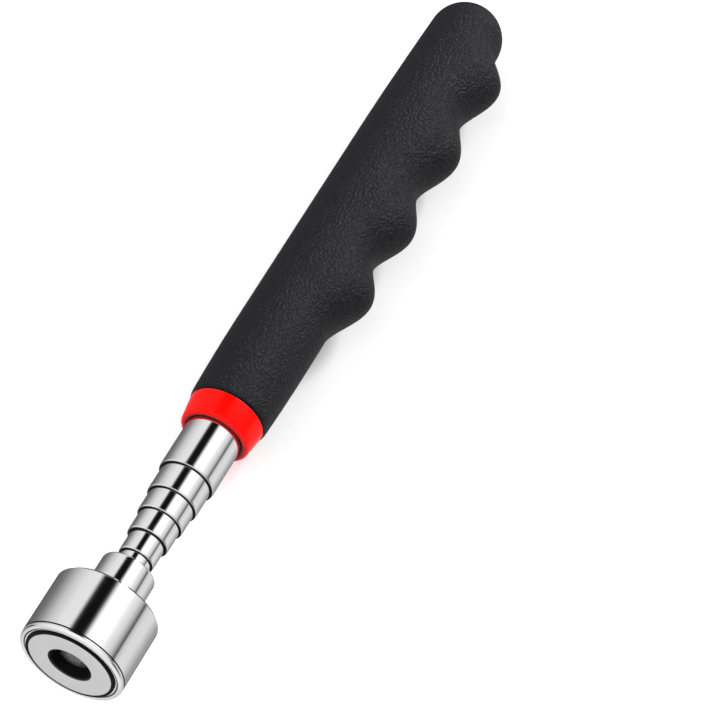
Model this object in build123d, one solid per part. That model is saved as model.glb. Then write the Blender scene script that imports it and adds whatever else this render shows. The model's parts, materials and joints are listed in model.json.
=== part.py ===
"""Telescoping magnetic pick-up tool with a lamp in its magnet head.

The tool lies along X. The origin is the centre of the magnet's working face, which looks along -X.
The mast runs along +X into the hand grip, whose finger crests point to -Y. +Z is up. Millimetres.
"""
from build123d import *
import math
import os

# ---- fits ---------------------------------------------------------------------------------------
RUN_FIT = 0.04  # radial clearance of a sliding or turning pair
RIM_GAP = 0.15  # axial gap between two pieces that turn against each other

# ---- magnet head --------------------------------------------------------------------------------
HEAD_R = 11.0
HEAD_LIP_X = 0.35  # the shell's lip stands this far behind the magnet face
HEAD_FLOOR_X = 9.9  # bottom of the shell's front bore
HEAD_BACK_X = 15.3
HEAD_BORE_R = 9.35
LIP_ROUND = 1.1
LIP_INNER_ROUND = 0.3
HEAD_BACK_CHAMFER = 0.6
POLE_R = 8.85
POLE_HOLE_R = 4.62
POLE_THICK = 1.5
POLE_EDGE = 0.25
POLE_HOLE_EDGE = 0.15
MAGNET_BACK_X = 8.6
SPACER_FRONT_X = 0.3

# ---- lamp in the middle of the magnet -----------------------------------------------------------
HOLDER_FRONT_X = 0.35
HOLDER_BORE_R = 4.1
LENS_SEAT_X = 2.2
LENS_R = 3.15
LENS_EDGE = 0.9
LENS_BULGE = 0.5
LAMP_WINDOW_R = 2.85
LAMP_WINDOW_DEPTH = 0.5
LAMP_R = 2.5
LAMP_FRONT_X = 4.2
LAMP_FLANGE_X = 8.1
LAMP_FLANGE_R = 2.9
BOARD_X = 9.0
BOARD_THICK = 0.8
BOARD_R = 4.4
BOARD_RIM = 0.4  # wall of the holder round the board
PAD_R = 1.5

# ---- battery tube, which is the neck behind the head --------------------------------------------
NIPPLE_FRONT_X = 10.4
NIPPLE_R = 5.0
NIPPLE_EDGE = 0.2
NECK_R = 5.7
NECK_BACK_X = 23.8
NECK_FRONT_ROUND = 0.25
NECK_BACK_ROUND = 0.7
BATTERY_BORE_R = 4.1
BATTERY_FLOOR_X = 22.6
SEAL_X = 13.0
SEAL_WIDTH = 1.0
SEAL_DEPTH = 0.45
SEAL_ROUND = 0.15
SEAL_SIDE_GAP = 0.1
CELL_R = 3.95
CELL_THICK = 3.6
CELL_COUNT = 3
CELL_FRONT_X = 10.25
CELL_CAP_STEP = 0.9
CELL_CAP_HEIGHT = 0.5
CELL_ROUND = 0.25
SPRING_WIRE_R = 0.17
SPRING_R = 3.2
SPRING_TURNS = 2
SPRING_CONE = -40  # degrees: the spring narrows towards its back

# ---- telescoping mast, listed from the fixed tube inwards ---------------------------------------
TUBE_R = [6.0, 5.45, 4.95, 4.45, 3.8]
TUBE_TIP_X = [47.0, 41.0, 36.0, 31.0, 26.3]
TUBE_END_X = [178.0, 176.0, 174.0, 172.0, 170.0]
TUBE_WALL = 0.28
TIP_LIP = 1.2  # length of the rolled-in lip that guides the next stage
TIP_ROUND = 0.45
TIP_ROUND_SHARE = 0.55  # most of a thin lip's height that its rounding takes
TIP_MOUTH_SHARE = 0.3  # share of the lip's height that the mouth's chamfer takes
TIP_MOUTH_DEPTH = 0.4
ROD_R = 3.3
ROD_STUD_R = 1.5
ROD_SPINDLE_R = 1.8
ROD_RIVET = 1.25  # thickness of the rod's riveted end
ROD_EDGE = 0.3
STAGE_TRAVEL = 118.0
STOP_GAP = 0.3  # what is left between a stage's shoe and the lip at full reach
SHOE_LENGTH = 5.0
SHOE_SLOT = 0.8
BUSH_LENGTH = 4.0
SWIVEL_WALL_R = 2.7  # outer radius of the bush that the rod turns in
SWIVEL_LENGTH = SHOE_LENGTH + BUSH_LENGTH

# ---- hand grip ----------------------------------------------------------------------------------
COLLAR_FRONT_X = 58.9
COLLAR_BACK_X = 64.8
COLLAR_FRONT_R = 7.45
COLLAR_BACK_R = 8.2
COLLAR_MOUTH_R = 6.2
COLLAR_LEAD_IN = 0.9
COLLAR_RIM_ROUND = 0.7
COLLAR_MOUTH_ROUND = 0.6
SPIGOT_END_X = 72.0
CORE_R = 6.95
CORE_END_X = 178.0
PLUG_BACK_X = 179.5
PLUG_FRONT_X = 176.6
PLUG_SPIGOT_R = 5.5
GRIP_R = 8.95
GRIP_FRONT_R = 8.5
GRIP_TAPER_END_X = 86.0
GRIP_FRONT_ROUND = 0.6
GRIP_WANE_X = 140.0  # from here the grip narrows slowly towards its domed end
GRIP_DOME_X = 179.3  # centre of the domed end
GRIP_DOME_R = 8.35
CREST_RISE = 4.7  # height of a finger crest above the plain grip
VALLEY_RISE = 0.75
CREST_X = [103.3, 123.5, 146.0, 168.3]
CREST_RUN_IN = 11.5  # length of the slope up to the first crest
CREST_RUN_OUT = 9.1  # length of the slope down from the last crest
SECTION_STEP = 2.8  # distance between two sections of the grip's body
SECTION_POINTS = 12


# ---- helpers ------------------------------------------------------------------------------------
def turned(*outline):
    """A solid of revolution about X. Each point is (x, radius) or (x, radius, corner rounding)."""
    face = make_face(Polyline(*[(point[0], point[1]) for point in outline], close=True))
    for point in outline:
        if len(point) == 3:
            corner = face.vertices().sort_by_distance((point[0], point[1], 0))[0]
            face = fillet(corner, point[2])
    return revolve(face, axis=Axis.X)


def ring(start, end, outer, inner):
    """A plain ring about X."""
    return turned((start, inner), (end, inner), (end, outer), (start, outer))


def disc(start, end, radius):
    """A plain disc about X."""
    return turned((start, 0), (end, 0), (end, radius), (start, radius))


# ---- magnet head --------------------------------------------------------------------------------
def head_shell():
    """Steel cup: a rounded lip at the front and a thick floor that turns on the battery tube."""
    hole_r = NIPPLE_R + RUN_FIT
    return turned(
        (HEAD_LIP_X, HEAD_BORE_R, LIP_INNER_ROUND),
        (HEAD_LIP_X, HEAD_R, LIP_ROUND),
        (HEAD_BACK_X - HEAD_BACK_CHAMFER, HEAD_R),
        (HEAD_BACK_X, HEAD_R - HEAD_BACK_CHAMFER),
        (HEAD_BACK_X, hole_r),
        (HEAD_FLOOR_X, hole_r),
        (HEAD_FLOOR_X, HEAD_BORE_R),
    )


def pole_plate():
    """Plated steel ring that covers the magnet and is the tool's working face."""
    return turned(
        (0, POLE_HOLE_R, POLE_HOLE_EDGE),
        (0, POLE_R, POLE_EDGE),
        (POLE_THICK, POLE_R),
        (POLE_THICK, POLE_HOLE_R),
    )


def ring_magnet():
    return ring(POLE_THICK, MAGNET_BACK_X, POLE_R, POLE_HOLE_R)


def back_yoke():
    """Steel washer between the magnet and the floor of the shell."""
    return ring(MAGNET_BACK_X, HEAD_FLOOR_X, HEAD_BORE_R, BOARD_R + BOARD_RIM)


def spacer_sleeve():
    """Black plastic sleeve that keeps the magnet clear of the shell's wall."""
    return ring(SPACER_FRONT_X, MAGNET_BACK_X, HEAD_BORE_R, POLE_R)


def lamp_holder():
    """Black tube that lines the magnet's hole, seats the lens, and holds the lamp and its board."""
    seat_x = LENS_SEAT_X + LENS_EDGE
    window_x = seat_x + LAMP_WINDOW_DEPTH
    board_back_x = BOARD_X + BOARD_THICK
    rim_r = BOARD_R + BOARD_RIM
    return turned(
        (HOLDER_FRONT_X, HOLDER_BORE_R),
        (HOLDER_FRONT_X, POLE_HOLE_R),
        (MAGNET_BACK_X, POLE_HOLE_R),
        (MAGNET_BACK_X, rim_r),
        (board_back_x, rim_r),
        (board_back_x, BOARD_R),
        (BOARD_X, BOARD_R),
        (BOARD_X, LAMP_FLANGE_R),
        (LAMP_FLANGE_X, LAMP_FLANGE_R),
        (LAMP_FLANGE_X, LAMP_R),
        (window_x, LAMP_R),
        (window_x, LAMP_WINDOW_R),
        (seat_x, LAMP_WINDOW_R),
        (seat_x, LENS_R),
        (LENS_SEAT_X, LENS_R),
        (LENS_SEAT_X, HOLDER_BORE_R),
    )


def lamp_lens():
    """Clear lens with a flat back and a bulging front."""
    sphere_r = (LENS_R**2 + LENS_BULGE**2) / (2 * LENS_BULGE)
    half_angle = math.asin(LENS_R / sphere_r) / 2
    crown = (LENS_SEAT_X - LENS_BULGE, 0)
    middle_x = crown[0] + sphere_r * (1 - math.cos(half_angle))
    middle = (middle_x, sphere_r * math.sin(half_angle))
    edge = (LENS_SEAT_X, LENS_R)
    back_x = LENS_SEAT_X + LENS_EDGE
    front = ThreePointArc(crown, middle, edge)
    rest = Polyline(edge, (back_x, LENS_R), (back_x, 0), crown)
    return revolve(make_face(Curve() + [front, rest]), axis=Axis.X)


def lamp():
    """Five millimetre lamp: a domed clear body on a flange."""
    dome_x = LAMP_FRONT_X + LAMP_R
    slant = LAMP_R * math.sqrt(0.5)
    tip = (LAMP_FRONT_X, 0)
    dome_end = (dome_x, LAMP_R)
    dome = ThreePointArc(tip, (dome_x - slant, slant), dome_end)
    rest = Polyline(
        dome_end,
        (LAMP_FLANGE_X, LAMP_R),
        (LAMP_FLANGE_X, LAMP_FLANGE_R),
        (BOARD_X, LAMP_FLANGE_R),
        (BOARD_X, 0),
        tip,
    )
    return revolve(make_face(Curve() + [dome, rest]), axis=Axis.X)


def lamp_board():
    """Round contact board, with a raised pad that faces the first cell."""
    back_x = BOARD_X + BOARD_THICK
    return turned(
        (BOARD_X, 0),
        (BOARD_X, BOARD_R),
        (back_x, BOARD_R),
        (back_x, PAD_R),
        (CELL_FRONT_X - RIM_GAP, PAD_R),
        (CELL_FRONT_X - RIM_GAP, 0),
    )


# ---- neck and inner rod -------------------------------------------------------------------------
def battery_tube():
    """Thin barrel: its front nipple sits in the head, and the rod is riveted to its back."""
    shoulder_x = HEAD_BACK_X + RIM_GAP
    groove_r = NIPPLE_R - SEAL_DEPTH
    return turned(
        (NIPPLE_FRONT_X, BATTERY_BORE_R),
        (NIPPLE_FRONT_X, NIPPLE_R, NIPPLE_EDGE),
        (SEAL_X, NIPPLE_R),
        (SEAL_X, groove_r),
        (SEAL_X + SEAL_WIDTH, groove_r),
        (SEAL_X + SEAL_WIDTH, NIPPLE_R),
        (shoulder_x, NIPPLE_R),
        (shoulder_x, NECK_R, NECK_FRONT_ROUND),
        (NECK_BACK_X, NECK_R, NECK_BACK_ROUND),
        (NECK_BACK_X, ROD_STUD_R),
        (BATTERY_FLOOR_X, ROD_STUD_R),
        (BATTERY_FLOOR_X, BATTERY_BORE_R),
    )


def seal_ring():
    """Rubber ring in the nipple's groove, whose drag keeps the head where it is turned to."""
    front = SEAL_X + SEAL_SIDE_GAP
    back = SEAL_X + SEAL_WIDTH - SEAL_SIDE_GAP
    inner = NIPPLE_R - SEAL_DEPTH
    return turned(
        (front, inner),
        (back, inner),
        (back, NIPPLE_R, SEAL_ROUND),
        (front, NIPPLE_R, SEAL_ROUND),
    )


def button_cell(index):
    """Button cell: a can with a slightly smaller raised cap on its front."""
    front = CELL_FRONT_X + index * CELL_THICK
    can_x = front + CELL_CAP_HEIGHT
    cap_r = CELL_R - CELL_CAP_STEP
    return turned(
        (front, 0),
        (front + CELL_THICK, 0),
        (front + CELL_THICK, CELL_R, CELL_ROUND),
        (can_x, CELL_R, CELL_ROUND),
        (can_x, cap_r),
        (front, cap_r, CELL_ROUND),
    )


def contact_spring():
    """Conical spring between the last cell and the floor of the battery tube."""
    start = CELL_FRONT_X + CELL_COUNT * CELL_THICK + SPRING_WIRE_R
    height = BATTERY_FLOOR_X - SPRING_WIRE_R - start
    coil = Helix(height / SPRING_TURNS, height, SPRING_R, cone_angle=SPRING_CONE)
    wire = Plane(origin=coil @ 0, z_dir=coil % 0) * Circle(SPRING_WIRE_R)
    return Pos(start, 0, 0) * Rot(0, 90, 0) * sweep(wire, path=coil)


def inner_rod():
    """Solid rod: a stud riveted into the neck, and a thin spindle that turns in the swivel bush."""
    spindle_x = shoe_start(len(TUBE_R)) - RIM_GAP
    rivet_x = spindle_x + SWIVEL_LENGTH + 2 * RIM_GAP
    return turned(
        (BATTERY_FLOOR_X, 0),
        (BATTERY_FLOOR_X, ROD_STUD_R),
        (NECK_BACK_X, ROD_STUD_R),
        (NECK_BACK_X, ROD_R),
        (spindle_x, ROD_R),
        (spindle_x, ROD_SPINDLE_R),
        (rivet_x, ROD_SPINDLE_R),
        (rivet_x, ROD_R, ROD_EDGE),
        (rivet_x + ROD_RIVET, ROD_R, ROD_EDGE),
        (rivet_x + ROD_RIVET, 0),
    )


# ---- telescoping mast: stage 0 is the fixed tube, stage 5 is the rod ----------------------------
def moving_r(stage):
    """Outer radius of the tube or rod that slides in the tube before it."""
    return TUBE_R[stage] if stage < len(TUBE_R) else ROD_R


def tube(stage):
    """One mast tube, with a rolled-in lip at its tip that guides the next stage."""
    outer = TUBE_R[stage]
    bore = outer - TUBE_WALL
    guide = moving_r(stage + 1) + RUN_FIT
    tip = TUBE_TIP_X[stage]
    end = TUBE_END_X[stage]
    lip = outer - guide
    return turned(
        (tip + TIP_MOUTH_DEPTH, guide),
        (tip, guide + TIP_MOUTH_SHARE * lip),
        (tip, outer, min(TIP_ROUND, TIP_ROUND_SHARE * lip)),
        (end, outer),
        (end, bore),
        (tip + TIP_LIP, bore),
        (tip + TIP_LIP, guide),
    )


def shoe_start(stage):
    """Front of a stage's friction shoe at rest, so that at full travel it meets the lip."""
    return TUBE_TIP_X[stage - 1] + TIP_LIP + STOP_GAP + STAGE_TRAVEL


def seat_r(stage):
    """Radius that a stage's shoe and bush sit on: the tube itself, or the rod's swivel bush."""
    return TUBE_R[stage] if stage < len(TUBE_R) else SWIVEL_WALL_R


def sliding_r(stage):
    """Outer radius of a stage's shoe and bush, a running fit in the tube before it."""
    return TUBE_R[stage - 1] - TUBE_WALL - RUN_FIT


def friction_shoe(stage):
    """Split spring sleeve on the inner end of a stage, which holds it wherever it is pulled to."""
    start = shoe_start(stage)
    outer = sliding_r(stage)
    sleeve = ring(start, start + SHOE_LENGTH, outer, seat_r(stage))
    slot = Pos(start + SHOE_LENGTH / 2, 0, outer) * Box(2 * SHOE_LENGTH, SHOE_SLOT, 2 * outer)
    return sleeve - slot


def stop_bush(stage):
    """Ring on the very end of a stage, which keeps it straight in the tube before it."""
    if stage < len(TUBE_R):
        end = TUBE_END_X[stage]
    else:
        end = shoe_start(stage) + SWIVEL_LENGTH
    return ring(end - BUSH_LENGTH, end, sliding_r(stage), seat_r(stage))


def swivel_bush():
    """Bush under the last shoe, in which the rod's spindle turns freely."""
    start = shoe_start(len(TUBE_R))
    return ring(start, start + SWIVEL_LENGTH, SWIVEL_WALL_R, ROD_SPINDLE_R + RUN_FIT)


# ---- hand grip ----------------------------------------------------------------------------------
def collar():
    """Red end ring of the grip, with a spigot that fills the grip's mouth."""
    return turned(
        (COLLAR_FRONT_X + COLLAR_LEAD_IN, TUBE_R[0]),
        (COLLAR_FRONT_X, COLLAR_MOUTH_R, COLLAR_MOUTH_ROUND),
        (COLLAR_FRONT_X, COLLAR_FRONT_R, COLLAR_RIM_ROUND),
        (COLLAR_BACK_X, COLLAR_BACK_R),
        (COLLAR_BACK_X, CORE_R),
        (SPIGOT_END_X, CORE_R),
        (SPIGOT_END_X, TUBE_R[0]),
    )


def core_tube():
    """Plastic tube between the fixed mast tube and the rubber grip."""
    return ring(SPIGOT_END_X, CORE_END_X, CORE_R, TUBE_R[0])


def end_plug():
    """Plug that closes the mast's inner end under the grip's dome."""
    return turned(
        (PLUG_FRONT_X, 0),
        (PLUG_FRONT_X, PLUG_SPIGOT_R),
        (CORE_END_X, PLUG_SPIGOT_R),
        (CORE_END_X, CORE_R),
        (PLUG_BACK_X, CORE_R),
        (PLUG_BACK_X, 0),
    )


def finger_knots():
    """(x, rise) at the plain grip, each crest, each valley between two crests, and the dome."""
    knots = [(CREST_X[0] - CREST_RUN_IN, 0)]
    for crest, following in zip(CREST_X, CREST_X[1:]):
        knots.append((crest, CREST_RISE))
        knots.append(((crest + following) / 2, VALLEY_RISE))
    knots.append((CREST_X[-1], CREST_RISE))
    knots.append((CREST_X[-1] + CREST_RUN_OUT, 0))
    return knots


def finger_rise(x):
    """How far the finger side stands above the plain grip at x: a half cosine from knot to knot."""
    knots = finger_knots()
    for (x_a, rise_a), (x_b, rise_b) in zip(knots, knots[1:]):
        if x_a <= x <= x_b:
            blend = (1 - math.cos(math.pi * (x - x_a) / (x_b - x_a))) / 2
            return rise_a + (rise_b - rise_a) * blend
    return 0


def plain_r(x):
    """Radius of the grip's palm side at x, which narrows slowly from the middle to the dome."""
    share = max(0, x - GRIP_WANE_X) / (GRIP_DOME_X - GRIP_WANE_X)
    return GRIP_R - (GRIP_R - GRIP_DOME_R) * share**2


def grip_section(x):
    """Section of the grip's body at x: round on the palm side, and bulging on the finger side."""
    radius = plain_r(x)
    reach = radius + finger_rise(x)
    palm = ThreePointArc((x, 0, -radius), (x, radius, 0), (x, 0, radius))
    if reach == radius:
        fingers = ThreePointArc((x, 0, radius), (x, -radius, 0), (x, 0, -radius))
    else:
        angles = [math.pi * index / SECTION_POINTS for index in range(SECTION_POINTS + 1)]
        points = [(x, -reach * math.sin(angle), radius * math.cos(angle)) for angle in angles]
        fingers = Spline(*points, tangents=[(0, -1, 0), (0, 1, 0)])
    return make_face(Curve() + [palm, fingers])


def grip_body():
    """The grip from the end of its taper to the middle of its dome, lofted through sections."""
    length = GRIP_DOME_X - GRIP_TAPER_END_X
    steps = round(length / SECTION_STEP)
    return loft(
        [grip_section(GRIP_TAPER_END_X + length * index / steps) for index in range(steps + 1)]
    )


def grip_front():
    """The round stretch behind the collar, which narrows a little to a rounded front edge."""
    middle = ((COLLAR_BACK_X + GRIP_TAPER_END_X) / 2, GRIP_R - (GRIP_R - GRIP_FRONT_R) / 4)
    corner = (COLLAR_BACK_X, GRIP_FRONT_R)
    end = (GRIP_TAPER_END_X, GRIP_R)
    rest = Polyline(end, (GRIP_TAPER_END_X, 0), (COLLAR_BACK_X, 0), corner)
    face = make_face(Curve() + [ThreePointArc(corner, middle, end), rest])
    face = fillet(face.vertices().sort_by_distance((*corner, 0))[0], GRIP_FRONT_ROUND)
    return revolve(face, axis=Axis.X)


def grip_dome():
    slant = GRIP_DOME_R * math.sqrt(0.5)
    top = (GRIP_DOME_X, GRIP_DOME_R)
    end = (GRIP_DOME_X + GRIP_DOME_R, 0)
    arc = ThreePointArc(top, (GRIP_DOME_X + slant, slant), end)
    return revolve(make_face(Curve() + [arc, Polyline(end, (GRIP_DOME_X, 0), top)]), axis=Axis.X)


def grip():
    """Rubber grip, with the bore for the core tube and the plug."""
    bore = disc(COLLAR_BACK_X, PLUG_BACK_X, CORE_R)
    return grip_body() + grip_dome() + grip_front() - bore


# ---- all the pieces -----------------------------------------------------------------------------
def pieces():
    """Every node's name and solid."""
    made = {
        "head_shell": head_shell(),
        "pole_plate": pole_plate(),
        "ring_magnet": ring_magnet(),
        "back_yoke": back_yoke(),
        "spacer_sleeve": spacer_sleeve(),
        "lamp_holder": lamp_holder(),
        "lamp_lens": lamp_lens(),
        "lamp": lamp(),
        "lamp_board": lamp_board(),
        "battery_tube": battery_tube(),
        "seal_ring": seal_ring(),
        "contact_spring": contact_spring(),
        "inner_rod": inner_rod(),
        "swivel_bush": swivel_bush(),
        "collar": collar(),
        "core_tube": core_tube(),
        "end_plug": end_plug(),
        "grip": grip(),
    }
    for index in range(CELL_COUNT):
        made[f"button_cell_{index + 1}"] = button_cell(index)
    for stage in range(len(TUBE_R)):
        made[f"tube_{stage + 1}"] = tube(stage)
    for stage in range(1, len(TUBE_R) + 1):
        made[f"friction_shoe_{stage}"] = friction_shoe(stage)
        made[f"stop_bush_{stage}"] = stop_bush(stage)
    return made


def write_parts():
    os.makedirs("parts", exist_ok=True)
    for node, solid in pieces().items():
        export_step(solid, f"parts/{node}.step")


write_parts()
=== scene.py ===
"""Looks of the telescoping magnetic pick-up tool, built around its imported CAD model.

The tool lies along X with its magnet's face at the origin, looking along -X, and +Z is up. The frame is
in metres. Outlines are written in millimetres, as (x, distance from the axis), and turned into metres
as their points become a mesh.
"""

import json
import math

import bmesh
import bpy
from mathutils import Matrix, Vector

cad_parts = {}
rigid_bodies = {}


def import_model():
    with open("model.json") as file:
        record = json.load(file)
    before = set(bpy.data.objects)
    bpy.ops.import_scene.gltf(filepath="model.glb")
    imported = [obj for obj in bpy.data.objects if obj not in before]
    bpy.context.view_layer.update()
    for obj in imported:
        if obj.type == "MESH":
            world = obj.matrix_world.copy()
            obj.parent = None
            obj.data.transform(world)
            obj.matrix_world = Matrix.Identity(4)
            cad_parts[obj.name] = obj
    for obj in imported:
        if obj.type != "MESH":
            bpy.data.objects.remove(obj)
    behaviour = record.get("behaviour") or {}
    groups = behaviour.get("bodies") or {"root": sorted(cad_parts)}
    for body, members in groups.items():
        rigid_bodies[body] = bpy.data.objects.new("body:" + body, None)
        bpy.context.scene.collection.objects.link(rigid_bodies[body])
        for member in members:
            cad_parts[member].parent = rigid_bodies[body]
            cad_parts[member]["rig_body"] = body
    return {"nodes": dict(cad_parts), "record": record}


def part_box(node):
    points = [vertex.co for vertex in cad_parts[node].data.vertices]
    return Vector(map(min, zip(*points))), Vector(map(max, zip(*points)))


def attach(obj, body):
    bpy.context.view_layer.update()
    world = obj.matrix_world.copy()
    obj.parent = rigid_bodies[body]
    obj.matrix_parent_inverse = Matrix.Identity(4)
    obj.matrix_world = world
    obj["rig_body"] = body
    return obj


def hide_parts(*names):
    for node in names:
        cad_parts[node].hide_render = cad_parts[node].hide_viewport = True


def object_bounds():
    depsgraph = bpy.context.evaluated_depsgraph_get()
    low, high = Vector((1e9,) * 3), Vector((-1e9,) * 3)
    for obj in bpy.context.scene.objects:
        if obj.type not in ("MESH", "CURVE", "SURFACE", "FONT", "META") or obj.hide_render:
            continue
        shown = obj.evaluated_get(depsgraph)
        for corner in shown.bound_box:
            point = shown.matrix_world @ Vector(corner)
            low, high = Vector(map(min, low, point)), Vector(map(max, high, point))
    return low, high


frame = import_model()
cad_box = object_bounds()

MM = 0.001  # a millimetre in metres
SEGMENTS = 192  # facets round every turned piece
ANGLES = [2 * math.pi * index / SEGMENTS for index in range(SEGMENTS)]
ARC_STEPS = 8  # facets along a rounded corner
SHARP_ANGLE = math.radians(25)  # an edge that folds by more than this is shaded as a sharp one
SECOND = 1  # tag of a surface that takes its piece's second material
BODY_OF = {node.name: node["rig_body"] for node in frame["nodes"].values()}
SLOT_OF = {row["node"]: row["material_slot"] for row in frame["record"]["subparts"]}
TUBES = [f"tube_{number}" for number in range(1, 6)]


# ---- mesh helpers -------------------------------------------------------------------------------
def skin(name, rings, tags=None):
    """A closed mesh through rings of points, in metres. A ring of one point is a pole, and without poles
    the last ring joins the first. The tags give the material of each band between two rings."""
    mesh = bmesh.new()
    rows = [[mesh.verts.new(point) for point in ring] for ring in rings]
    pairs = list(zip(rows, rows[1:]))
    if len(rows[0]) > 1 and len(rows[-1]) > 1:
        pairs.append((rows[-1], rows[0]))
    for number, (row, following) in enumerate(pairs):
        count = max(len(row), len(following))
        for index in range(count):
            ahead = (index + 1) % count
            corners = [row[index % len(row)], row[ahead % len(row)]]
            corners += [following[ahead % len(following)], following[index % len(following)]]
            corners = list(dict.fromkeys(corners))
            if len(corners) > 2:
                face = mesh.faces.new(corners)
                face.smooth = True
                face.material_index = tags[number] if tags else 0
    bmesh.ops.recalc_face_normals(mesh, faces=mesh.faces)
    for edge in mesh.edges:
        edge.smooth = edge.calc_face_angle(0) < SHARP_ANGLE
    data = bpy.data.meshes.new(name)
    mesh.to_mesh(data)
    mesh.free()
    piece = bpy.data.objects.new(name, data)
    bpy.context.scene.collection.objects.link(piece)
    return piece


def rounded(corners):
    """The points of a closed outline and each point's tag. A corner (x, radius, rounding, tag) with a
    rounding becomes an arc, and the last two values may be left out."""
    points = []
    tags = []
    for index, corner in enumerate(corners):
        here = Vector(corner[:2])
        tag = corner[3] if len(corner) > 3 else 0
        rounding = corner[2] if len(corner) > 2 else 0
        if not rounding:
            points.append(here)
            tags.append(tag)
            continue
        before = (Vector(corners[index - 1][:2]) - here).normalized()
        after = (Vector(corners[(index + 1) % len(corners)][:2]) - here).normalized()
        half = before.angle(after) / 2
        centre = here + (before + after).normalized() * rounding / math.sin(half)
        start = here + before * rounding / math.tan(half) - centre
        end = here + after * rounding / math.tan(half) - centre
        sweep = start.angle(end)
        for step in range(ARC_STEPS + 1):
            along = step / ARC_STEPS
            mix = math.sin((1 - along) * sweep) * start + math.sin(along * sweep) * end
            points.append(centre + mix / math.sin(sweep))
            tags.append(tag)
    return points, tags


def turned(name, corners):
    """A solid of revolution about X. A corner is (x, radius, rounding, tag) in mm, and its tag picks the
    material of the surface from there to the next corner."""
    points, tags = rounded(corners)
    rings = []
    for x, radius in points:
        if radius == 0:
            rings.append([(x * MM, 0, 0)])
        else:
            rings.append([(x * MM, radius * MM * math.cos(a), radius * MM * math.sin(a)) for a in ANGLES])
    return skin(name, rings, tags)


def reach(node):
    """(front x, back x, largest radius) of a CAD node, in mm."""
    low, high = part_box(node)
    return low.x / MM, high.x / MM, high.z / MM


def stand_for(piece, node, *materials):
    """The piece takes the CAD node's place and body, and gets the given materials; the CAD node is hidden.
    """
    for material in materials:
        piece.data.materials.append(material)
    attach(piece, BODY_OF[node])
    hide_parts(node)


# ---- material helpers ---------------------------------------------------------------------------
# Sockets of a Mix node that mixes colours.
MIX_FACTOR = 0
MIX_FIRST = 6
MIX_SECOND = 7
MIX_RESULT = 2


class Nodes:
    """A material's node tree, with short calls for the nodes that the materials here share."""

    def __init__(self, name):
        self.material = bpy.data.materials.new(name)
        self.material.use_nodes = True
        self.tree = self.material.node_tree
        self.shader = self.tree.nodes["Principled BSDF"]
        coordinates = self.tree.nodes.new("ShaderNodeTexCoord")
        self.place = coordinates.outputs["Object"]

    def new(self, kind, **inputs):
        """A new node with its properties and sockets set. A name's spaces are written as underscores."""
        node = self.tree.nodes.new(kind)
        for key, value in inputs.items():
            self.put(node, key, value)
        return node

    def put(self, node, key, value):
        """Sets a node's property or socket, or links the socket to another node's output."""
        if hasattr(node, key):
            setattr(node, key, value)
            return
        socket = node.inputs[key.replace("_", " ")]
        if isinstance(value, bpy.types.NodeSocket):
            self.tree.links.new(value, socket)
        else:
            socket.default_value = value

    def set(self, **inputs):
        """Sets or links the shader's own sockets."""
        for key, value in inputs.items():
            self.put(self.shader, key, value)

    def stretched(self, x, y, z):
        """The object's coordinates, scaled along each axis."""
        node = self.new("ShaderNodeMapping", Vector=self.place, Scale=(x, y, z))
        return node.outputs["Vector"]

    def polar(self):
        """Coordinates (x, distance from the tool's axis, 0), in which rings round the axis are straight."""
        split = self.new("ShaderNodeSeparateXYZ", Vector=self.place)
        flat = self.new("ShaderNodeCombineXYZ", Y=split.outputs["Y"], Z=split.outputs["Z"])
        length = self.new("ShaderNodeVectorMath", operation="LENGTH")
        self.tree.links.new(flat.outputs["Vector"], length.inputs[0])
        joined = self.new("ShaderNodeCombineXYZ", X=split.outputs["X"], Y=length.outputs["Value"])
        return joined.outputs["Vector"]

    def noise(self, vector, scale, detail, roughness=0.5):
        """Noise from 0 to 1, with about scale spots to the metre."""
        node = self.new("ShaderNodeTexNoise", Vector=vector, Scale=scale, Detail=detail, Roughness=roughness)
        return node.outputs["Fac"]

    def between(self, value, low, high, start=0.0, end=1.0):
        """The value's stretch from start to end, spread from low to high."""
        node = self.new("ShaderNodeMapRange", Value=value, From_Min=start, From_Max=end)
        self.put(node, "To_Min", low)
        self.put(node, "To_Max", high)
        return node.outputs["Result"]

    def blend(self, factor, first, second):
        """A colour between two, each of which may be another node's output."""
        node = self.new("ShaderNodeMix", data_type="RGBA")
        self.tree.links.new(factor, node.inputs[MIX_FACTOR])
        for number, colour in ((MIX_FIRST, first), (MIX_SECOND, second)):
            if isinstance(colour, bpy.types.NodeSocket):
                self.tree.links.new(colour, node.inputs[number])
            else:
                node.inputs[number].default_value = colour
        return node.outputs[MIX_RESULT]

    def bump(self, height, distance, under=None):
        """A bump whose full height is that distance in metres. under is the normal that it stands on."""
        node = self.new("ShaderNodeBump", Height=height, Distance=distance)
        if under:
            self.tree.links.new(under, node.inputs["Normal"])
        return node.outputs["Normal"]


def grey(value, tint=(1, 1, 1)):
    """An opaque grey, tinted by a factor for each of red, green and blue."""
    return (value * tint[0], value * tint[1], value * tint[2], 1)


# ---- materials ----------------------------------------------------------------------------------
WARM = (1, 0.99, 0.97)
COLLAR_PAINTED_SHADE_R = 6.5  # the red collar's mouth is painted with shade inside this radius
COLLAR_SHADE_FADE_R = 7.4  # and the painted shade fades away by this one
FINE_GRAIN = 0.6  # height of the grip's fine grain beside its pebbles


def chrome():
    """Bright plating: nearly a mirror, with faint haze, slight ripples and hairlines round the axis."""
    nodes = Nodes("chrome")
    haze = nodes.noise(nodes.place, 260, 4)
    hairlines = nodes.noise(nodes.stretched(9000, 300, 300), 1, 2)
    ripple = nodes.noise(nodes.stretched(60, 160, 160), 1, 1)
    nodes.set(
        Metallic=1.0,
        Base_Color=nodes.blend(haze, grey(0.90, (1, 1, 1.01)), grey(0.95, (1, 1, 1.005))),
        Roughness=nodes.between(haze, 0.055, 0.095, 0.3, 0.7),
        Normal=nodes.bump(hairlines, 2e-7, under=nodes.bump(ripple, 3e-6)),
    )
    return nodes.material


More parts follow.
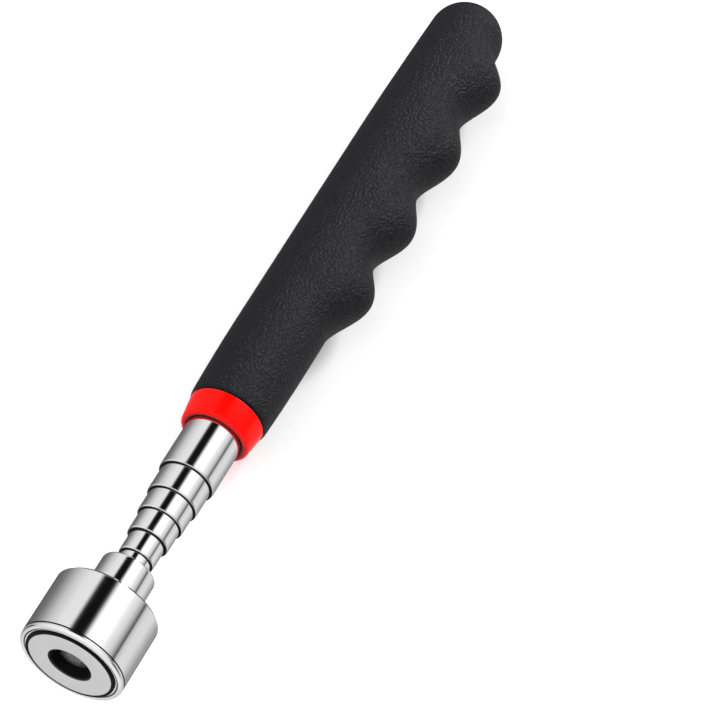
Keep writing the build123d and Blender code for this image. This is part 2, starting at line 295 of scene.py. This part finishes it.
def shade_painted_steel():
    """Unplated steel in cut edges, grooves and bores, painted dark to stand for the shade in them: dull and
    a little oily.
    """
    nodes = Nodes("shade_painted_steel")
    stain = nodes.noise(nodes.place, 900, 4)
    nodes.set(
        Metallic=0.6,
        Base_Color=nodes.blend(stain, grey(0.006), grey(0.02)),
        Roughness=nodes.between(stain, 0.35, 0.6),
    )
    return nodes.material


def pole_face():
    """Satin nickel on the magnet's face: fine turning rings, a light grain and duller patches."""
    nodes = Nodes("pole_face")
    rings = nodes.noise(nodes.polar(), 5200, 2)
    grain = nodes.noise(nodes.place, 3800, 3, 0.6)
    patches = nodes.noise(nodes.place, 320, 3)
    nodes.set(
        Metallic=1.0,
        Base_Color=nodes.blend(patches, grey(0.76), grey(0.84)),
        Roughness=nodes.between(grain, 0.34, 0.5),
        Normal=nodes.bump(rings, 1.5e-6, under=nodes.bump(grain, 5e-6)),
    )
    return nodes.material


def magnet():
    """Sintered magnet: dark grey, granular and matte."""
    nodes = Nodes("magnet")
    grain = nodes.noise(nodes.place, 4500, 5, 0.7)
    nodes.set(
        Metallic=0.5,
        Base_Color=nodes.blend(grain, grey(0.05), grey(0.13)),
        Roughness=nodes.between(grain, 0.5, 0.75),
        Normal=nodes.bump(grain, 1.2e-5),
    )
    return nodes.material


def steel():
    """Bare turned steel, with tool marks round the axis and a few stains."""
    nodes = Nodes("steel")
    marks = nodes.noise(nodes.stretched(14000, 300, 300), 1, 2)
    stain = nodes.noise(nodes.place, 500, 4)
    nodes.set(
        Metallic=1.0,
        Base_Color=nodes.blend(stain, grey(0.42), grey(0.55)),
        Roughness=nodes.between(stain, 0.25, 0.42),
        Normal=nodes.bump(marks, 2e-6),
    )
    return nodes.material


def black_plastic():
    """Black moulding with a fine spark-eroded texture."""
    nodes = Nodes("black_plastic")
    grain = nodes.noise(nodes.place, 6000, 3, 0.6)
    cloud = nodes.noise(nodes.place, 300, 2)
    nodes.set(
        Base_Color=nodes.blend(cloud, grey(0.003), grey(0.006)),
        Roughness=nodes.between(grain, 0.5, 0.7),
        Specular_IOR_Level=0.05,
        Normal=nodes.bump(grain, 4e-6),
    )
    return nodes.material


def glass(name, tint, clearness, haze_low, haze_high):
    """Clear moulded plastic with a trace of flow marks. What isn't clear about it is a milky haze."""
    nodes = Nodes(name)
    flow = nodes.noise(nodes.place, 450, 2)
    nodes.set(
        Base_Color=tint,
        Transmission_Weight=clearness,
        IOR=1.49,
        Roughness=nodes.between(flow, haze_low, haze_high),
        Normal=nodes.bump(flow, 4e-6),
    )
    return nodes.material


def board():
    """Green circuit board with a fine glass weave under its lacquer."""
    nodes = Nodes("board")
    weave = nodes.noise(nodes.stretched(300, 5200, 5200), 1, 1)
    nodes.set(
        Base_Color=nodes.blend(weave, (0.008, 0.06, 0.022, 1), (0.018, 0.11, 0.04, 1)),
        Roughness=nodes.between(weave, 0.25, 0.4),
        Coat_Weight=0.4,
        Normal=nodes.bump(weave, 4e-6),
    )
    return nodes.material


def brass():
    """Spring bronze of the bushes and shoes, rubbed in streaks along the way that they slide."""
    nodes = Nodes("brass")
    rubbed = nodes.noise(nodes.stretched(250, 3200, 3200), 1, 3)
    nodes.set(
        Metallic=1.0,
        Base_Color=nodes.blend(rubbed, (0.55, 0.34, 0.10, 1), (0.74, 0.52, 0.20, 1)),
        Roughness=nodes.between(rubbed, 0.18, 0.4),
        Normal=nodes.bump(rubbed, 2e-6),
    )
    return nodes.material


def cell_can():
    """Drawn and nickel-plated can of a button cell."""
    nodes = Nodes("cell_can")
    rings = nodes.noise(nodes.polar(), 3600, 2)
    nodes.set(
        Metallic=1.0,
        Base_Color=nodes.blend(rings, grey(0.60, WARM), grey(0.70, WARM)),
        Roughness=nodes.between(rings, 0.18, 0.3),
        Normal=nodes.bump(rings, 1.5e-6),
    )
    return nodes.material


def red_plastic():
    """Glossy red moulding with slight sinks in its surface, and shade painted into its mouth, fading out
    towards the rim.
    """
    nodes = Nodes("red_plastic")
    sink = nodes.noise(nodes.place, 220, 2)
    dust = nodes.noise(nodes.place, 2600, 3)
    from_axis = nodes.new("ShaderNodeSeparateXYZ", Vector=nodes.polar()).outputs["Y"]
    clear_of_painted_shade = nodes.between(from_axis, 0.0, 1.0, COLLAR_PAINTED_SHADE_R * MM, COLLAR_SHADE_FADE_R * MM)
    bright = nodes.blend(sink, (0.70, 0.0015, 0.0005, 1), (0.80, 0.003, 0.0008, 1))
    nodes.set(
        # painted shade: the red is darkened near the axis, in the mouth round the mast tube, and fades to
        # the collar's own red by the rim
        Base_Color=nodes.blend(clear_of_painted_shade, (0.20, 0.0003, 0.0002, 1), bright),
        Roughness=nodes.between(dust, 0.12, 0.2),
        Specular_IOR_Level=0.13,
        Sheen_Weight=0.22,
        Sheen_Roughness=0.25,
        Normal=nodes.bump(sink, 1.2e-5),
    )
    return nodes.material


def grip_rubber():
    """Moulded black rubber with a fine pebbled grain, whose tops are a little lighter."""
    nodes = Nodes("grip_rubber")
    pebbles = nodes.new("ShaderNodeTexVoronoi", feature="SMOOTH_F1", Vector=nodes.place, Scale=2100.0)
    fine = nodes.noise(nodes.place, 5200, 3, 0.6)
    worn = nodes.noise(nodes.place, 90, 3)
    top = nodes.between(pebbles.outputs["Distance"], 1.0, 0.0, 0.1, 0.6)
    height = nodes.new("ShaderNodeMath", operation="MULTIPLY_ADD")
    nodes.tree.links.new(fine, height.inputs[0])
    height.inputs[1].default_value = FINE_GRAIN
    nodes.tree.links.new(top, height.inputs[2])
    ground = nodes.blend(worn, (0.002, 0.002, 0.0032, 1), (0.0035, 0.0035, 0.005, 1))
    nodes.set(
        Base_Color=nodes.blend(top, ground, (0.0065, 0.0066, 0.0095, 1)),
        Roughness=nodes.between(fine, 0.32, 0.44, 0.3, 0.7),
        Specular_IOR_Level=0.21,
        Normal=nodes.bump(height.outputs["Value"], 2.0e-4),
    )
    return nodes.material


def core_plastic():
    """Grey moulding inside the grip, with flow lines along it."""
    nodes = Nodes("core_plastic")
    flow = nodes.noise(nodes.stretched(60, 900, 900), 1, 3)
    nodes.set(
        Base_Color=nodes.blend(flow, grey(0.07), grey(0.11)),
        Roughness=nodes.between(flow, 0.35, 0.5),
        Normal=nodes.bump(flow, 6e-6),
    )
    return nodes.material


def seal_rubber():
    """Black seal, slightly greased."""
    nodes = Nodes("seal_rubber")
    grease = nodes.noise(nodes.place, 1500, 3)
    nodes.set(
        Base_Color=nodes.blend(grease, grey(0.006), grey(0.012)),
        Roughness=nodes.between(grease, 0.25, 0.55),
        Normal=nodes.bump(grease, 5e-6),
    )
    return nodes.material


MATERIALS = {
    "chrome": chrome(),
    "pole_face": pole_face(),
    "magnet": magnet(),
    "steel": steel(),
    "black_plastic": black_plastic(),
    "clear_lens": glass("clear_lens", (0.07, 0.073, 0.077, 1), clearness=0.3, haze_low=0.05, haze_high=0.1),
    "lamp_body": glass("lamp_body", (0.95, 0.97, 1.0, 1), clearness=1.0, haze_low=0.02, haze_high=0.08),
    "board": board(),
    "brass": brass(),
    "cell_can": cell_can(),
    "red_plastic": red_plastic(),
    "grip_rubber": grip_rubber(),
    "core_plastic": core_plastic(),
    "seal_rubber": seal_rubber(),
}
# near-black steel that stands for the shade in gaps, grooves and bores: painted shade
SHADE_PAINTED_STEEL = shade_painted_steel()


# ---- magnet head --------------------------------------------------------------------------------
HOLE_R = 4.62  # hole through the magnet and its pole plate
LIP_WIDTH = 1.05  # the bead round the shell's mouth, seen from the front
LIP_ROUND = 0.7
LIP_INNER_ROUND = 0.28
LIP_GROOVE_X = 0.9  # a fine groove, its faces painted dark as shade, parts the bead from the shell's body, this far behind the lip
LIP_GROOVE = 0.32  # the groove's width
LIP_GROOVE_DEPTH = 0.2
SEAM = 0.16  # fine seam, its floor painted dark as shade, between the bead and the ridge inside it
SEAM_DEPTH = 0.5
RIDGE_STEP = 0.12  # the ridge lies this far behind the bead
RIDGE_ROUND = 0.07
BACK_BEVEL = 0.6  # the shell's bevelled back corner
BACK_ROUND = 0.12
POLE_EDGE = 0.16  # rounding of the pole plate's front edges
RING_STEP = 0.06  # the black ring's front lies this far behind the face
RING_SPREAD = 0.1  # the ring is this much fatter than the CAD's sleeve
SLEEVE_ROUND = 0.06


def head_shell():
    """Chromed cup: a fat bead round its mouth, a fine seam and ridge inside it, and a bevelled back. Its
    groove, seam and the hole at its back take steel painted dark as shade.
    """
    front, back, radius = reach("head_shell")
    bore = reach("spacer_sleeve")[2] + RING_SPREAD
    floor = reach("back_yoke")[1]
    hole = reach("seal_ring")[2]
    ridge = front + RIDGE_STEP
    bead = radius - LIP_WIDTH
    groove = front + LIP_GROOVE_X
    return turned("head_shell_chromed", [
        (ridge, bore, RIDGE_ROUND),
        (ridge, bead - SEAM, RIDGE_ROUND),
        (ridge + SEAM_DEPTH, bead - SEAM, 0, SECOND),
        (ridge + SEAM_DEPTH, bead, 0),
        (front, bead, LIP_INNER_ROUND),
        (front, radius, LIP_ROUND),
        (groove, radius, 0, SECOND),
        (groove, radius - LIP_GROOVE_DEPTH, 0, SECOND),
        (groove + LIP_GROOVE, radius - LIP_GROOVE_DEPTH, 0, SECOND),
        (groove + LIP_GROOVE, radius),
        (back - BACK_BEVEL, radius, BACK_ROUND),
        (back, radius - BACK_BEVEL, BACK_ROUND),
        # the hole and floor at the back take steel painted dark as shade
        (back, hole, 0, SECOND),
        (floor, hole, 0, SECOND),
        (floor, bore, 0, SECOND),
    ])


def pole_plate():
    """The working face: a flat ring with softly broken edges."""
    front, back, radius = reach("pole_plate")
    return turned("pole_plate_satin", [
        (front, HOLE_R, POLE_EDGE),
        (front, radius, POLE_EDGE),
        (back, radius),
        (back, HOLE_R),
    ])


def spacer_sleeve():
    """Black sleeve round the pole plate, with rounded front edges."""
    _, back, radius = reach("spacer_sleeve")
    plate_front, _, inner = reach("pole_plate")
    front = plate_front + RING_STEP
    return turned("spacer_sleeve_moulded", [
        (front, inner, SLEEVE_ROUND),
        (front, radius + RING_SPREAD, SLEEVE_ROUND),
        (back, radius + RING_SPREAD),
        (back, inner),
    ])


# ---- lamp ---------------------------------------------------------------------------------------
HOLDER_BORE_R = 4.1
HOLDER_ROUND = 0.15
WINDOW_R = 2.85  # opening between the lens and the lamp
WINDOW_DEPTH = 0.5
LENS_BULGE = 0.5
LENS_STEPS = 48  # facets from the lens's edge to its middle
LENS_RIPPLES = 4  # moulded rings in the lens's front
LENS_RIPPLE = 0.05  # depth of the rings
LAMP_FLANGE_R = 2.9
LAMP_FLANGE_STEP = 0.4  # how far the lamp's flange stands out from its body
LAMP_FLANGE = 0.9  # the flange's thickness
LAMP_DOME_STEPS = 16
CUP_SETBACK = 2.9  # the reflector cup's mouth lies this far behind the lamp's tip
CUP_R = 1.1
CUP_MOUTH_R = 1.045
CUP_DEPTH = 0.7
CUP_FLOOR_R = 0.495
CUP_LENGTH = 1.4
CUP_BACK_R = 0.66


def lamp_holder():
    """Black tube in the magnet's hole. The seat behind the lens is a satin reflector."""
    front, back, rim_r = reach("lamp_holder")
    lens_front, seat, lens_r = reach("lamp_lens")
    board_front, _, board_r = reach("lamp_board")
    magnet_back = reach("ring_magnet")[1]
    lamp_r = LAMP_FLANGE_R - LAMP_FLANGE_STEP
    flange = board_front - LAMP_FLANGE
    return turned("lamp_holder_moulded", [
        (front, HOLDER_BORE_R, HOLDER_ROUND),
        (front, HOLE_R),
        (magnet_back, HOLE_R),
        (magnet_back, rim_r),
        (back, rim_r),
        (back, board_r),
        (board_front, board_r),
        (board_front, LAMP_FLANGE_R),
        (flange, LAMP_FLANGE_R),
        (flange, lamp_r),
        (seat + WINDOW_DEPTH, lamp_r, 0, SECOND),
        (seat + WINDOW_DEPTH, WINDOW_R, 0, SECOND),
        (seat, WINDOW_R, 0, SECOND),
        (seat, lens_r),
        (lens_front + LENS_BULGE, lens_r),
        (lens_front + LENS_BULGE, HOLDER_BORE_R),
    ])


def lamp_lens():
    """Lens with a bulging front, shallow moulded rings in it, and a flat back."""
    front, back, radius = reach("lamp_lens")
    points = [(back, 0), (back, radius), (front + LENS_BULGE, radius)]
    for step in range(1, LENS_STEPS):
        share = 1 - step / LENS_STEPS
        ripple = LENS_RIPPLE * (1 - math.cos(2 * math.pi * LENS_RIPPLES * share)) / 2
        points.append((front + LENS_BULGE * share**2 + ripple, radius * share))
    points.append((front, 0))
    return turned("lamp_lens_clear", points)


def lamp():
    """Five millimetre lamp: a domed clear body on a flange."""
    front, back, flange_r = reach("lamp")
    body_r = flange_r - LAMP_FLANGE_STEP
    points = [(front, 0)]
    for step in range(1, LAMP_DOME_STEPS + 1):
        angle = math.pi / 2 * step / LAMP_DOME_STEPS
        points.append((front + body_r * (1 - math.cos(angle)), body_r * math.sin(angle)))
    points += [(back - LAMP_FLANGE, body_r), (back - LAMP_FLANGE, flange_r), (back, flange_r), (back, 0)]
    return turned("lamp_clear", points)


def lamp_cup():
    """Small steel reflector cup inside the lamp."""
    front = reach("lamp")[0] + CUP_SETBACK
    return turned("lamp_cup", [
        (front, CUP_MOUTH_R),
        (front, CUP_R),
        (front + CUP_LENGTH, CUP_BACK_R),
        (front + CUP_LENGTH, 0),
        (front + CUP_DEPTH, 0),
        (front + CUP_DEPTH, CUP_FLOOR_R),
    ])


# ---- neck, mast and rod -------------------------------------------------------------------------
RUN_FIT = 0.04  # gap between a tube's tip and the stage that slides in it
TUBE_WALL = 0.28
TIP_LIP = 1.2  # length of a tube's tip, which is rolled in to guide the next stage
TIP_CONE = 0.3  # length of the slope at the tip
TIP_DROP = 0.05  # how much the slope narrows the tip
TIP_ROUND = 0.05
TIP_MOUTH_SHARE = 0.3  # share of the tip's thickness that its flared mouth takes
TIP_MOUTH_DEPTH = 0.4
NIPPLE_R = 5.0  # the neck's narrow front, which the head turns on
NIPPLE_EDGE = 0.2
SEAL_DEPTH = 0.45  # groove for the seal ring
SEAL_SIDE_GAP = 0.1
BATTERY_WALL = 0.9
BATTERY_FLOOR = 1.2
NECK_FRONT_ROUND = 0.25
NECK_BACK_ROUND = 0.7
ROD_STUD_R = 1.5  # the rod's front end, in the neck's floor
ROD_SPINDLE_R = 1.8  # the rod's back end, in the swivel bush
ROD_RIVET = 1.25
ROD_EDGE = 0.3
RIM_GAP = 0.15  # gap between faces that turn against each other


def battery_tube():
    """Chromed barrel with a nipple for the head in front."""
    front, back, radius = reach("battery_tube")
    seal_front, seal_back, _ = reach("seal_ring")
    groove_r = NIPPLE_R - SEAL_DEPTH
    bore = NIPPLE_R - BATTERY_WALL
    shoulder = reach("head_shell")[1] + RIM_GAP
    return turned("battery_tube_chromed", [
        (front, bore),
        (front, NIPPLE_R, NIPPLE_EDGE),
        (seal_front - SEAL_SIDE_GAP, NIPPLE_R),
        (seal_front - SEAL_SIDE_GAP, groove_r),
        (seal_back + SEAL_SIDE_GAP, groove_r),
        (seal_back + SEAL_SIDE_GAP, NIPPLE_R),
        (shoulder, NIPPLE_R),
        (shoulder, radius, NECK_FRONT_ROUND),
        (back, radius, NECK_BACK_ROUND),
        (back, ROD_STUD_R),
        # the floor and the bore in front of it take steel painted dark as shade
        (back - BATTERY_FLOOR, ROD_STUD_R, 0, SECOND),
        (back - BATTERY_FLOOR, bore, 0, SECOND),
    ])


def tube(node, inner_r):
    """One mast tube: its tip is rolled in to a slight slope, and its cut edge, mouth and bore take steel
    painted dark as shade.
    """
    tip, end, radius = reach(node)
    guide = inner_r + RUN_FIT
    mouth = guide + TIP_MOUTH_SHARE * (radius - guide)
    return turned(f"{node}_chromed", [
        (tip + TIP_MOUTH_DEPTH, guide, 0, SECOND),
        (tip, mouth, 0, SECOND),
        (tip, radius - TIP_DROP, TIP_ROUND),
        (tip + TIP_CONE, radius, TIP_CONE),
        (end, radius),
        (end, radius - TUBE_WALL, 0, SECOND),
        (tip + TIP_LIP, radius - TUBE_WALL, 0, SECOND),
        (tip + TIP_LIP, guide, 0, SECOND),
    ])


def inner_rod():
    """Chromed rod with a stud in the neck and a riveted spindle in the swivel bush."""
    front, back, radius = reach("inner_rod")
    neck_back = reach("battery_tube")[1]
    bush_front, bush_back, _ = reach("swivel_bush")
    rivet = back - ROD_RIVET
    return turned("inner_rod_chromed", [
        (front, 0),
        (front, ROD_STUD_R),
        (neck_back, ROD_STUD_R),
        (neck_back, radius),
        (bush_front - RIM_GAP, radius),
        (bush_front - RIM_GAP, ROD_SPINDLE_R),
        (rivet, ROD_SPINDLE_R),
        (rivet, radius, ROD_EDGE),
        (back, radius, ROD_EDGE),
        (back, 0),
    ])


# ---- collar and grip ----------------------------------------------------------------------------
COLLAR_FRONT_R = 7.45
COLLAR_MOUTH_R = 6.2
COLLAR_LEAD_IN = 0.9  # length of the slope in the collar's mouth
COLLAR_RIM_ROUND = 0.7
COLLAR_MOUTH_ROUND = 0.6
COLLAR_BACK_ROUND = 0.15
COLLAR_GAP = 0.3  # a fine gap, its faces painted black as shade, parts the collar from the rubber
GRIP_FRONT_R = 8.5
GRIP_FRONT_ROUND = 0.6
GRIP_TAPER = 21.2  # length of the narrowing behind the collar
GRIP_WANE_X = 140.0  # from here the grip narrows slowly towards its domed end
GRIP_DOME_R = 8.35
CREST_RISE = 4.7  # height of a finger crest above the plain grip
VALLEY_RISE = 0.75
CREST_X = [103.3, 123.5, 146.0, 168.3]
CREST_RUN_IN = 11.5  # the first crest's rise begins this far before it
CREST_RUN_OUT = 9.1  # and the last one's fall ends this far behind it
GRIP_STEP = 0.5  # distance between the grip's rings
DOME_STEPS = 28


def collar():
    """Red end ring: a bullnose front, a lead-in round the mast tube, and a spigot inside the grip. The fine
    gap at its back takes black rubber painted as shade.
    """
    front, back, radius = reach("collar")
    step = reach("grip")[0]
    mast_r = reach("tube_1")[2]
    spigot_r = reach("core_tube")[2]
    return turned("collar_moulded", [
        (front + COLLAR_LEAD_IN, mast_r),
        (front, COLLAR_MOUTH_R, COLLAR_MOUTH_ROUND),
        (front, COLLAR_FRONT_R, COLLAR_RIM_ROUND),
        (step - COLLAR_GAP, radius, COLLAR_BACK_ROUND),
        (step - COLLAR_GAP, radius - COLLAR_GAP, 0, SECOND),
        (step, radius - COLLAR_GAP, 0, SECOND),
        (step, spigot_r),
        (back, spigot_r),
        (back, mast_r),
    ])


def finger_rise(x):
    """How far the finger side stands above the plain grip at x: a half cosine from knot to knot."""
    knots = [(CREST_X[0] - CREST_RUN_IN, 0)]
    for crest, following in zip(CREST_X, CREST_X[1:]):
        knots += [(crest, CREST_RISE), ((crest + following) / 2, VALLEY_RISE)]
    knots += [(CREST_X[-1], CREST_RISE), (CREST_X[-1] + CREST_RUN_OUT, 0)]
    for (x_a, rise_a), (x_b, rise_b) in zip(knots, knots[1:]):
        if x_a <= x <= x_b:
            blend = (1 - math.cos(math.pi * (x - x_a) / (x_b - x_a))) / 2
            return rise_a + (rise_b - rise_a) * blend
    return 0


def grip_ring(x, palm, fingers):
    """Section of the grip at x: round on the palm side, and stretched on the finger side."""
    ring = []
    for angle in ANGLES:
        side = fingers if math.sin(angle) > 0 else palm
        ring.append((x * MM, -side * MM * math.sin(angle), palm * MM * math.cos(angle)))
    return ring


def grip():
    """Rubber grip with four finger crests and a domed end, bored for the core tube."""
    front, back, widest = reach("grip")
    bore = reach("core_tube")[2]
    floor = reach("end_plug")[1]
    dome = back - GRIP_DOME_R
    rings = [[(floor * MM, 0, 0)], grip_ring(floor, bore, bore), grip_ring(front, bore, bore)]
    edge = [(front, bore), (front, GRIP_FRONT_R, GRIP_FRONT_ROUND), (front + GRIP_STEP, GRIP_FRONT_R)]
    for x, radius in rounded(edge)[0][1:-1]:
        rings.append(grip_ring(x, radius, radius))
    steps = round((dome - front) / GRIP_STEP)
    for step in range(2, steps + 1):  # the rounded edge takes up the first step
        x = front + (dome - front) * step / steps
        ahead = max(0, front + GRIP_TAPER - x) / GRIP_TAPER
        behind = max(0, x - GRIP_WANE_X) / (dome - GRIP_WANE_X)
        palm = widest - (widest - GRIP_FRONT_R) * ahead**2 - (widest - GRIP_DOME_R) * behind**2
        rings.append(grip_ring(x, palm, palm + finger_rise(x)))
    for step in range(1, DOME_STEPS):
        angle = math.pi / 2 * step / DOME_STEPS
        radius = GRIP_DOME_R * math.cos(angle)
        rings.append(grip_ring(dome + GRIP_DOME_R * math.sin(angle), radius, radius))
    rings.append([(back * MM, 0, 0)])
    return skin("grip_moulded", rings)


# ---- all the pieces -----------------------------------------------------------------------------
def dress_cad_nodes():
    """Every CAD node keeps its shape and gets its slot's material."""
    for name, node in frame["nodes"].items():
        for material_slot in node.material_slots:
            material_slot.material = MATERIALS[SLOT_OF[name]]


def build_pieces():
    """The detailed pieces that stand for CAD nodes which can be seen, and the cup in the lamp."""
    chromed = MATERIALS["chrome"]
    stand_for(head_shell(), "head_shell", chromed, SHADE_PAINTED_STEEL)
    stand_for(pole_plate(), "pole_plate", MATERIALS["pole_face"])
    stand_for(spacer_sleeve(), "spacer_sleeve", MATERIALS["black_plastic"])
    stand_for(lamp_holder(), "lamp_holder", MATERIALS["black_plastic"], MATERIALS["cell_can"])
    stand_for(lamp_lens(), "lamp_lens", MATERIALS["clear_lens"])
    stand_for(lamp(), "lamp", MATERIALS["lamp_body"])
    cup = lamp_cup()
    cup.data.materials.append(MATERIALS["steel"])
    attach(cup, "head")
    stand_for(battery_tube(), "battery_tube", chromed, SHADE_PAINTED_STEEL)
    stand_for(inner_rod(), "inner_rod", chromed)
    for node, inner in zip(TUBES, TUBES[1:] + ["inner_rod"]):
        stand_for(tube(node, reach(inner)[2]), node, chromed, SHADE_PAINTED_STEEL)
    # the collar's gap takes black seal rubber as painted shade
    stand_for(collar(), "collar", MATERIALS["red_plastic"], MATERIALS["seal_rubber"])
    stand_for(grip(), "grip", MATERIALS["grip_rubber"])


# ---- studio -------------------------------------------------------------------------------------
# Brightness of the room round the tool's axis, as (degrees from straight up towards -Y, display grey).
# A grey above 1 is brighter than the background. These directions lean back, and the mast mirrors them.
MAST_VIEW = [
    (-180, 0.50), (-170, 0.30), (-155, 0.26), (-140, 0.40), (-122, 0.42), (-104, 0.48), (-88, 0.62),
    (-68, 0.80), (-44, 0.91), (-22, 0.92), (-14, 0.22), (-8, 0.06), (7, 0.06), (12, 0.28), (18, 0.88),
    (24, 1.12), (46, 1.12), (60, 0.95), (74, 0.84), (84, 0.62), (88, 0.38), (91, 0.38), (95, 0.78),
    (106, 0.88), (125, 0.88), (145, 0.74), (160, 0.62),
]
# The same for directions that lean back less, then for those straight out to the side, then forwards.
EDGE_VIEW = [
    (-180, 0.80), (-120, 0.75), (-90, 0.86), (-30, 0.92), (-14, 0.60), (-4, 0.20), (12, 0.40),
    (24, 0.86), (60, 0.80), (76, 0.60), (88, 0.36), (100, 0.60), (120, 0.80), (160, 0.80),
]
SIDE_VIEW = [
    (-180, 0.80), (-150, 0.85), (-120, 0.52), (-100, 0.34), (-88, 0.80), (-60, 0.94), (-20, 1.0),
    (40, 1.0), (70, 0.94), (86, 0.80), (95, 0.26), (112, 0.42), (135, 0.85), (160, 0.85),
]
FRONT_VIEW = [(-180, 0.92), (-110, 0.85), (-80, 0.92), (-30, 1.0), (60, 1.0), (90, 0.88), (120, 0.95)]
# Starting with the front view, each view takes over from the last between these values of a
# direction's X, which is 1 straight back along the tool.
VIEW_CHANGES = [(-0.48, -0.38, SIDE_VIEW), (0.08, 0.17, EDGE_VIEW), (0.27, 0.36, MAST_VIEW)]
FLOOR_HALF = 4.0  # half the floor's side, in metres


def linear(display):
    """A display grey as scene-linear light, by the sRGB curve."""
    return ((display + 0.055) / 1.055) ** 2.4 if display > 0.04 else display / 12.92


def studio_world():
    """A room with light and dark strips along the tool, which it mirrors. The camera sees plain white."""
    world = bpy.data.worlds.new("studio")
    world.use_nodes = True
    tree = world.node_tree
    tree.nodes.clear()

    def new(kind, *links, **settings):
        """A new node with its properties set, and each (input number, value or source) link made."""
        node = tree.nodes.new(kind)
        for key, value in settings.items():
            setattr(node, key, value)
        for socket, source in links:
            if isinstance(source, bpy.types.NodeSocket):
                tree.links.new(source, node.inputs[socket])
            else:
                node.inputs[socket].default_value = source
        return node

    def ramp(stops, factor):
        """A colour ramp from 0 to 1 for one turn round the axis."""
        node = new("ShaderNodeValToRGB", (0, factor))
        elements = node.color_ramp.elements
        while len(elements) < len(stops):
            elements.new(0.5)
        for element, (degrees, display) in zip(elements, stops):
            element.position = degrees / 360 + 0.5
            element.color = grey(linear(display))
        return node.outputs["Color"]

    direction = new("ShaderNodeTexCoord").outputs["Generated"]
    split = new("ShaderNodeSeparateXYZ", (0, direction))
    sideways = new("ShaderNodeMath", (0, split.outputs["Y"]), (1, -1.0), operation="MULTIPLY")
    around = new("ShaderNodeMath", (0, sideways.outputs[0]), (1, split.outputs["Z"]), operation="ARCTAN2")
    turn = new("ShaderNodeMapRange", (0, around.outputs[0]), (1, -math.pi), (2, math.pi))
    room = ramp(FRONT_VIEW, turn.outputs[0])
    for start, end, view in VIEW_CHANGES:
        share = new("ShaderNodeMapRange", (0, split.outputs["X"]), (1, start), (2, end))
        change = new("ShaderNodeMix", (MIX_FACTOR, share.outputs[0]), (MIX_FIRST, room), data_type="RGBA")
        tree.links.new(ramp(view, turn.outputs[0]), change.inputs[MIX_SECOND])
        room = change.outputs[MIX_RESULT]
    seen = new("ShaderNodeMix", (MIX_FIRST, room), data_type="RGBA")
    ray = new("ShaderNodeLightPath")
    tree.links.new(ray.outputs["Is Camera Ray"], seen.inputs[MIX_FACTOR])
    seen.inputs[MIX_SECOND].default_value = grey(1.0)
    light = new("ShaderNodeBackground", (0, seen.outputs[MIX_RESULT]), (1, 1.0))
    new("ShaderNodeOutputWorld", (0, light.outputs[0]))
    bpy.context.scene.world = world


def studio_floor():
    """A plain white table top under the tool, which mirrors leave out."""
    z = cad_box[0].z
    mesh = bpy.data.meshes.new("floor")
    corners = [(-FLOOR_HALF, -FLOOR_HALF, z), (FLOOR_HALF, -FLOOR_HALF, z)]
    corners += [(FLOOR_HALF, FLOOR_HALF, z), (-FLOOR_HALF, FLOOR_HALF, z)]
    mesh.from_pydata(corners, [], [(0, 1, 2, 3)])
    floor = bpy.data.objects.new("floor", mesh)
    bpy.context.scene.collection.objects.link(floor)
    nodes = Nodes("floor_white")
    fibre = nodes.noise(nodes.place, 600, 2)
    nodes.set(
        Base_Color=nodes.blend(fibre, grey(0.80), grey(0.83)),
        Roughness=0.9,
        Specular_IOR_Level=0.0,
        Emission_Color=grey(1.0),
        Emission_Strength=0.16,
    )
    mesh.materials.append(nodes.material)
    floor.visible_glossy = False


def sun(name, towards, strength, angle, glossy=False):
    """A soft far light that shines along the direction towards and looks angle degrees wide. Mirrors
    leave it out, unless it is glossy."""
    data = bpy.data.lights.new(name, "SUN")
    data.energy = strength
    data.angle = math.radians(angle)
    light = bpy.data.objects.new(name, data)
    light.rotation_euler = Vector(towards).to_track_quat("-Z", "Y").to_euler()
    light.visible_glossy = glossy
    bpy.context.scene.collection.objects.link(light)


# The camera looks down and back along the tool, from in front of its finger side. Metres.
FOCAL_LENGTH = 150.0  # millimetres, like the sensor
SENSOR_WIDTH = 36.0
CAMERA_HEADING = math.radians(25.6)  # from +X towards +Y
CAMERA_DROP = math.radians(52.2)
CAMERA_DISTANCE = 0.5618
CAMERA_RIGHT = 0.05446  # how far the view's middle is from the origin, to the right and up
CAMERA_UP = 0.05722


def studio_camera():
    heading = Vector((math.cos(CAMERA_HEADING), math.sin(CAMERA_HEADING), 0))
    down = Vector((0, 0, -1))
    forward = math.cos(CAMERA_DROP) * heading + math.sin(CAMERA_DROP) * down
    right = heading.cross(Vector((0, 0, 1)))
    up = right.cross(forward)
    place = CAMERA_RIGHT * right + CAMERA_UP * up - CAMERA_DISTANCE * forward
    data = bpy.data.cameras.new("camera")
    data.lens = FOCAL_LENGTH
    data.sensor_width = SENSOR_WIDTH
    camera = bpy.data.objects.new("camera", data)
    camera.matrix_world = Matrix.Translation(place) @ Matrix((right, up, -forward)).transposed().to_4x4()
    bpy.context.scene.collection.objects.link(camera)
    bpy.context.scene.camera = camera


dress_cad_nodes()
build_pieces()
studio_world()
studio_floor()
sun("key", towards=(0.58, -0.56, -0.60), strength=2.4, angle=14)
sun("fill", towards=(0.45, 0.62, -0.55), strength=0.35, angle=40)
sun("rim", towards=(-0.72, 0.378, -0.582), strength=2.3, angle=16, glossy=True)
studio_camera()
bpy.context.scene.view_settings.view_transform = "Standard"
